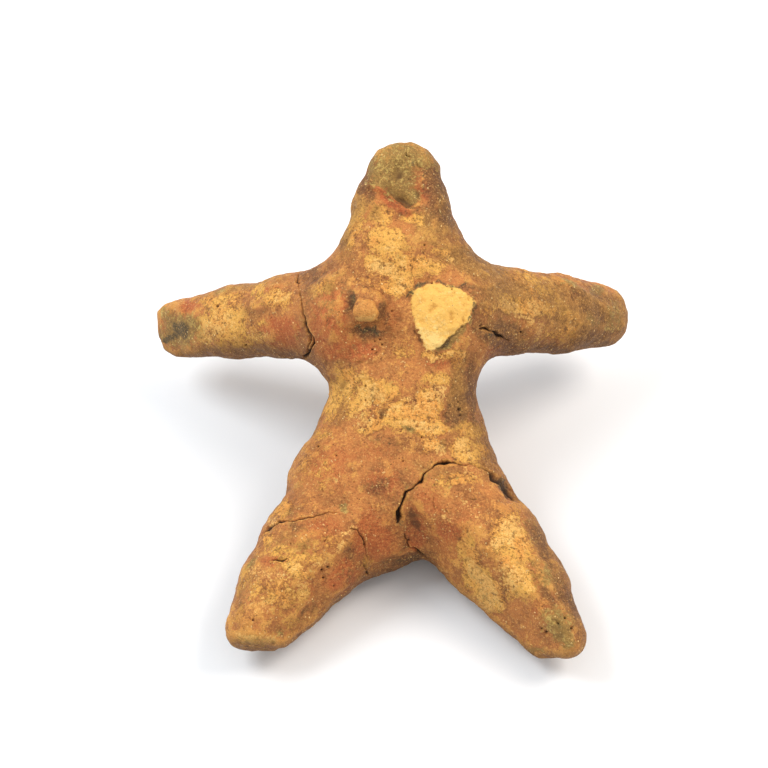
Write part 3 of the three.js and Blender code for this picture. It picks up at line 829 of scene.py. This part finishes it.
# colours of the clay; the flank colour is painted shade, and the soot, plum and tan colours also stand in for
# shade in places
clay = {
    "clay": shade(192, 122, 70), "clayBrown": shade(160, 101, 58), "clayOrange": shade(214, 140, 80),
    "red": shade(192, 104, 60), "redDeep": shade(158, 80, 46), "rust": shade(178, 92, 56),
    "ochre": shade(236, 177, 93), "ochreOrange": shade(233, 162, 86), "plumAndShade": shade(102, 64, 42),
    "tan": shade(172, 125, 66), "tanDark": shade(124, 86, 46), "sootAndShade": shade(72, 66, 50),
    "olive": shade(136, 108, 60), "paleOlive": shade(206, 178, 108),
    "cream": shade(246, 198, 124), "creamDark": shade(234, 178, 108),
    "scar": shade(242, 190, 104), "scarPale": shade(254, 216, 144), "scarDeep": shade(220, 162, 80),
    "crack": shade(52, 34, 22), "flankShade": shade(92, 60, 36), "fleck": shade(250, 216, 156),
    "speck": shade(84, 54, 34),
    "roughness": 0.6, "bump": 1.0, "grainDepth": 0.24 * mm, "specular": 0.22,
}

# Noises in the clay: size in mm, detail and roughness
noises = {
    "broad": (5.0, 5.0, 0.6), "middle": (1.5, 8.0, 0.72), "fine": (0.5, 5.0, 0.75), "grain": (0.2, 3.0, 0.7),
    "crumbs": (0.85, 4.0, 0.65), "pitted": (0.42, 4.0, 0.7),
}
# Layers of wear and painted shade: the share where each begins and is whole, how far the noises fray its
# edge, its strength
layers = {
    "red": (0.22, 0.68, 0.9, 0.92), "tan": (0.1, 0.9, 0.9, 0.9), "ochre": (0.34, 0.72, 1.2, 1.0),
    "rust": (0.25, 0.8, 1.1, 0.85), "plumAndShade": (0.2, 0.85, 1.0, 0.88), "cream": (0.42, 0.95, 2.0, 0.95),
    "olive": (0.3, 0.75, 1.0, 0.9), "scar": (0.38, 0.66, 0.7, 1.0), "sootAndShade": (0.3, 0.8, 1.0, 0.9),
}
# Pale flecks and dark specks: spacing and reach of the dots, then size and reach of the patches they crowd in
dots = {
    "fleck": (0.62, (0.3, 0.18), 1.3, (0.56, 0.64)), "speck": (0.48, (0.26, 0.14), 1.0, (0.54, 0.62)),
}


def clayFinish():
    finish = Finish("terracotta")
    broad, middle, fine, grain, crumbs, pitted = [finish.noise(*noise) for noise in noises.values()]
    fray = (middle - 0.5) * 1.3 + (fine - 0.5) * 1.5 + (grain - 0.5) * 0.6
    hollow = finish.share("hollow")

    def laid(kind):
        begins, whole, frayed, strength = layers[kind]
        return (finish.share(kind) + fray * frayed).between(begins, whole) * strength

    def dotted(kind):
        spacing, dot, patch, crowd = dots[kind]
        return finish.spots(spacing).between(*dot) * finish.noise(patch, 3.0, 0.6).between(*crowd)

    def mottled(reading, low, high, first, second):
        return finish.blend(reading.between(low, high), clay[first], clay[second])

    colour = mottled(broad, 0.4, 0.6, "clay", "clayBrown")
    orange = (middle + (fine - 0.5) * 0.8).between(0.48, 0.66) * 0.7
    colour = finish.blend(orange, colour, clay["clayOrange"])
    colour = finish.blend(laid("red"), colour, mottled(fine + middle, 0.95, 1.15, "red", "redDeep"))
    mixed = middle * 0.5 + fine * 0.5
    # tan: browner clay, and painted shade along the right side and the edges of the left arm
    colour = finish.blend(laid("tan"), colour, mottled(mixed, 0.45, 0.58, "tan", "tanDark"))
    ochre = mottled(broad, 0.45, 0.6, "ochre", "ochreOrange")
    bare = laid("ochre") * (1 - (fine + grain * 0.4).between(0.66, 0.58) * 0.4)
    colour = finish.blend(bare, colour, ochre)
    worn = (fine + (middle - 0.5) * 0.8 - hollow * 0.5).between(0.58, 0.76) * 0.5
    colour = finish.blend(worn, colour, ochre)
    colour = finish.blend(laid("rust"), colour, clay["rust"])
    # plum: dark clay, and painted shade in places
    colour = finish.blend(laid("plumAndShade"), colour, clay["plumAndShade"])
    cream = mottled(fine * 0.6 + grain * 0.4, 0.46, 0.58, "creamDark", "cream")
    colour = finish.blend(laid("cream"), colour, cream)
    colour = finish.blend(laid("olive"), colour, mottled(mixed, 0.5, 0.62, "olive", "paleOlive"))
    # the scar's deeper colour comes in at random and, as painted shade, in its hollows
    scarred = mottled(fine + hollow * 0.3, 0.46, 0.62, "scar", "scarDeep")
    scarred = finish.blend((broad * 0.5 + fine * 0.5).between(0.5, 0.6), scarred, clay["scarPale"])
    fresh = laid("scar")
    colour = finish.blend(fresh, colour, scarred)
    # soot-dark marks, partly real stains and partly painted shade
    colour = finish.blend(laid("sootAndShade"), colour, clay["sootAndShade"])
    # painted shade on the undersides and the right flanks
    colour = finish.blend(finish.share("flankShade") * 0.78, colour, clay["flankShade"])

    # crumbs and pits of the clay, darkened in their hollows as painted shade and paled on their tops, partly
    # wear and partly painted light; coarsest where the skin is gone
    crumbly = 0.16 + finish.share("ochre").between(0.1, 0.7) * 0.4 + broad.between(0.45, 0.62) * 0.24
    crumbly = crumbly * (1 - finish.share("olive").between(0.2, 0.8) * 0.6)
    old = 1 - fresh * 0.75
    for noise, darkFrom, darkTo, dark, paleFrom, paleTo, pale in [
            (crumbs, 0.48, 0.34, crumbly * old, 0.54, 0.68, crumbly * old * 0.7),
            (pitted, 0.45, 0.29, old * 0.7, 0.54, 0.7, 0.6),
            (grain, 0.44, 0.3, old * 0.5, 0.56, 0.7, 0.45)]:
        colour = finish.blend(noise.between(darkFrom, darkTo) * dark, colour, clay["speck"])
        colour = finish.blend(noise.between(paleFrom, paleTo) * pale, colour, clay["creamDark"])
    flecks, specks = dotted("fleck"), dotted("speck")
    colour = finish.blend(flecks * 0.6, colour, clay["fleck"])
    # painted shade: the clay is darkened in its hollows, and a little at random
    hollowShade = (hollow + (fine - 0.5) * 0.8).between(0.2, 1.0) * 0.75
    colour = finish.blend((specks * old * 0.8).orMore(hollowShade), colour, clay["speck"])
    colour = finish.blend(finish.share("crack").between(0.3, 0.9) * 0.95, colour, clay["crack"])
    grained = crumbs * crumbly * 3.0 + pitted * 1.1 + grain * 0.3 - specks * 0.5 + flecks * 0.3 - bare * 0.3
    bump = finish.node("ShaderNodeBump", {}, {
        "Height": grained, "Strength": clay["bump"], "Distance": clay["grainDepth"]})
    finish.set({
        "Base Color": colour, "Roughness": clay["roughness"] + (fine - 0.5) * 0.5 + bare * 0.2,
        "Normal": bump, "Specular IOR Level": clay["specular"]})
    return finish.material


# Grit in the clay: small grains set into the skin

grit = {
    "pale": {"perMm2": 0.022, "smallest": 0.05, "largest": 0.26, "seed": 7, "colour": shade(246, 214, 158)},
    "dark": {"perMm2": 0.02, "smallest": 0.08, "largest": 0.18, "seed": 19, "colour": shade(98, 66, 44)},
    "shape": (1.0, 0.8, 0.65),    # a grain's three half sizes, for a radius of one
    "sunk": 0.35,                 # share of its radius that a grain stands below the skin
    "cluster": 6.0,               # mm, size of the patches where grains crowd
    "crowded": (0.47, 0.68),      # cloud values between which they come closer
    "crowding": 4.0,              # how many times as close they stand there
}


def gritTree(kind, material):
    tree = bpy.data.node_groups.new(kind + "Grit", "GeometryNodeTree")
    tree.interface.new_socket("Skin", in_out="INPUT", socket_type="NodeSocketGeometry")
    names = {}
    inputs = {"Per square mm": "Float", "Smallest": "Float", "Largest": "Float", "Seed": "Int"}
    for name, sort in inputs.items():
        socket = tree.interface.new_socket(name, in_out="INPUT", socket_type="NodeSocket" + sort)
        names[name] = socket.identifier
    tree.interface.new_socket("Grains", in_out="OUTPUT", socket_type="NodeSocketGeometry")

    def node(nodeKind, settings=None, inputs=None):
        return addNode(tree, nodeKind, settings, inputs).outputs

    given = node("NodeGroupInput")
    seed = given["Seed"]
    cloud = node("ShaderNodeTexNoise", {}, {"Scale": 1 / (grit["cluster"] * mm), "Detail": 3.0})
    low, high = grit["crowded"]
    crowd = node("ShaderNodeMapRange", {}, {
        "Value": cloud[0], "From Min": low, "From Max": high, "To Max": grit["crowding"] / mm ** 2})
    density = node("ShaderNodeMath", {"operation": "MULTIPLY"}, {0: given["Per square mm"], 1: crowd[0]})
    scatter = node("GeometryNodeDistributePointsOnFaces", {"distribute_method": "RANDOM"}, {
        "Mesh": given["Skin"], "Density": density[0], "Seed": seed})
    size = node("FunctionNodeRandomValue", {"data_type": "FLOAT"}, {
        2: given["Smallest"], 3: given["Largest"], "Seed": seed})
    turn = node("FunctionNodeRandomValue", {"data_type": "FLOAT_VECTOR"}, {
        0: (0.0, 0.0, 0.0), 1: (math.tau, math.tau, math.tau), "Seed": seed})
    shape = tuple(half * mm for half in grit["shape"])
    squash = node("ShaderNodeVectorMath", {"operation": "SCALE"}, {0: shape, "Scale": size[1]})
    sink = node("ShaderNodeMath", {"operation": "MULTIPLY"}, {0: size[1], 1: -grit["sunk"] * mm})
    inward = node("ShaderNodeVectorMath", {"operation": "SCALE"}, {0: scatter["Normal"], "Scale": sink[0]})
    sunk = node("GeometryNodeSetPosition", {}, {"Geometry": scatter["Points"], "Offset": inward[0]})
    grain = node("GeometryNodeMeshIcoSphere", {}, {"Radius": 1.0, "Subdivisions": 1})
    placed = node("GeometryNodeInstanceOnPoints", {}, {
        "Points": sunk[0], "Instance": grain[0], "Rotation": turn[0], "Scale": squash[0]})
    real = node("GeometryNodeRealizeInstances", {}, {"Geometry": placed[0]})
    coloured = node("GeometryNodeSetMaterial", {}, {"Geometry": real[0], "Material": material})
    node("NodeGroupOutput", {}, {"Grains": coloured[0]})
    return tree, names


def gritFinish(kind, colour):
    finish = Finish(kind + "Grit")
    mottle = finish.noise(0.2)
    finish.set({
        "Base Color": finish.blend(mottle.between(0.35, 0.7), colour, clay["ochre"]),
        "Roughness": 0.4 + mottle * 0.3})
    return finish.material


def connected(vertex):
    # every corner of the grain that this corner belongs to
    found, waiting = {vertex}, [vertex]
    while waiting:
        for edge in waiting.pop().link_edges:
            for corner in edge.verts:
                if corner not in found:
                    found.add(corner)
                    waiting.append(corner)
    return found


def makeGrit(skinPiece, kind):
    settings = grit[kind]
    tree, names = gritTree(kind, gritFinish(kind, settings["colour"]))
    holder = bpy.data.objects.new(kind + "GritHolder", skinPiece.data)
    scene.collection.objects.link(holder)
    modifier = holder.modifiers.new("grit", "NODES")
    modifier.node_group = tree
    for name, value in [("Per square mm", settings["perMm2"]), ("Smallest", settings["smallest"]),
                        ("Largest", settings["largest"]), ("Seed", settings["seed"])]:
        modifier[names[name]] = value
    bpy.context.view_layer.update()
    mesh = bpy.data.meshes.new_from_object(holder.evaluated_get(bpy.context.evaluated_depsgraph_get()))
    bpy.data.objects.remove(holder)
    grains = bmesh.new()
    grains.from_mesh(mesh)
    low = [vertex for vertex in grains.verts if vertex.co.z < 0.0]    # under the table
    strays = {corner for vertex in low for corner in connected(vertex)}
    bmesh.ops.delete(grains, geom=list(strays), context="VERTS")
    grains.to_mesh(mesh)
    grains.free()
    mesh.polygons.foreach_set("use_smooth", np.ones(len(mesh.polygons), bool))
    piece = bpy.data.objects.new(kind + "Grit", mesh)
    scene.collection.objects.link(piece)
    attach(piece, "root")
    print(kind, "grit:", len(mesh.polygons), "faces")


# Table and light

stage = {
    "floorHalf": 3.0, "floor": (0.85, 0.85, 0.85, 1.0), "floorRoughness": 0.9,
    "world": 0.78, "worldColour": (0.97, 0.985, 1.0, 1.0),
    "lampHeight": 52, "lampAway": 0.475, "lampSide": 0.228, "watts": 1.36,    # degrees, then metres
    "lamps": {"right": (98, (1.0, 0.93, 0.87)), "left": (-98, (0.9, 0.95, 1.0))},    # turn and colour
}


def addFloor():
    half = stage["floorHalf"]
    corners = [(-half, -half, 0), (half, -half, 0), (half, half, 0), (-half, half, 0)]
    mesh = bpy.data.meshes.new("floor")
    mesh.from_pydata(corners, [], [(0, 1, 2, 3)])
    finish = Finish("floor")
    finish.set({"Base Color": stage["floor"], "Roughness": stage["floorRoughness"]})
    mesh.materials.append(finish.material)
    floor = bpy.data.objects.new("floor", mesh)
    scene.collection.objects.link(floor)


def addLights():
    middle = Vector(camera["aim"]) * mm
    height = math.radians(stage["lampHeight"])
    for name, (degrees, colour) in stage["lamps"].items():
        lamp = bpy.data.lights.new(name, "AREA")
        lamp.shape, lamp.size = "SQUARE", stage["lampSide"]
        lamp.energy, lamp.color = stage["watts"], colour
        turn, level = math.radians(degrees), math.cos(height)
        way = Vector((math.sin(turn) * level, -math.cos(turn) * level, math.sin(height)))
        holder = bpy.data.objects.new(name, lamp)
        holder.location = middle + way * stage["lampAway"]
        holder.rotation_euler = way.to_track_quat("Z", "Y").to_euler()
        scene.collection.objects.link(holder)
    world = bpy.data.worlds.new("studio")
    world.use_nodes = True
    sky = world.node_tree.nodes["Background"]
    sky.inputs["Color"].default_value = stage["worldColour"]
    sky.inputs["Strength"].default_value = stage["world"]
    scene.world = world
    scene.view_settings.view_transform = "Standard"


addCamera()
print("camera is set")
skinPiece = makeSkin()
skinPiece.data.materials.clear()
skinPiece.data.materials.append(clayFinish())
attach(skinPiece, "root")
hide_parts("figure")
for kind in ("pale", "dark"):
    makeGrit(skinPiece, kind)
addFloor()
addLights()
print("table and light are set")
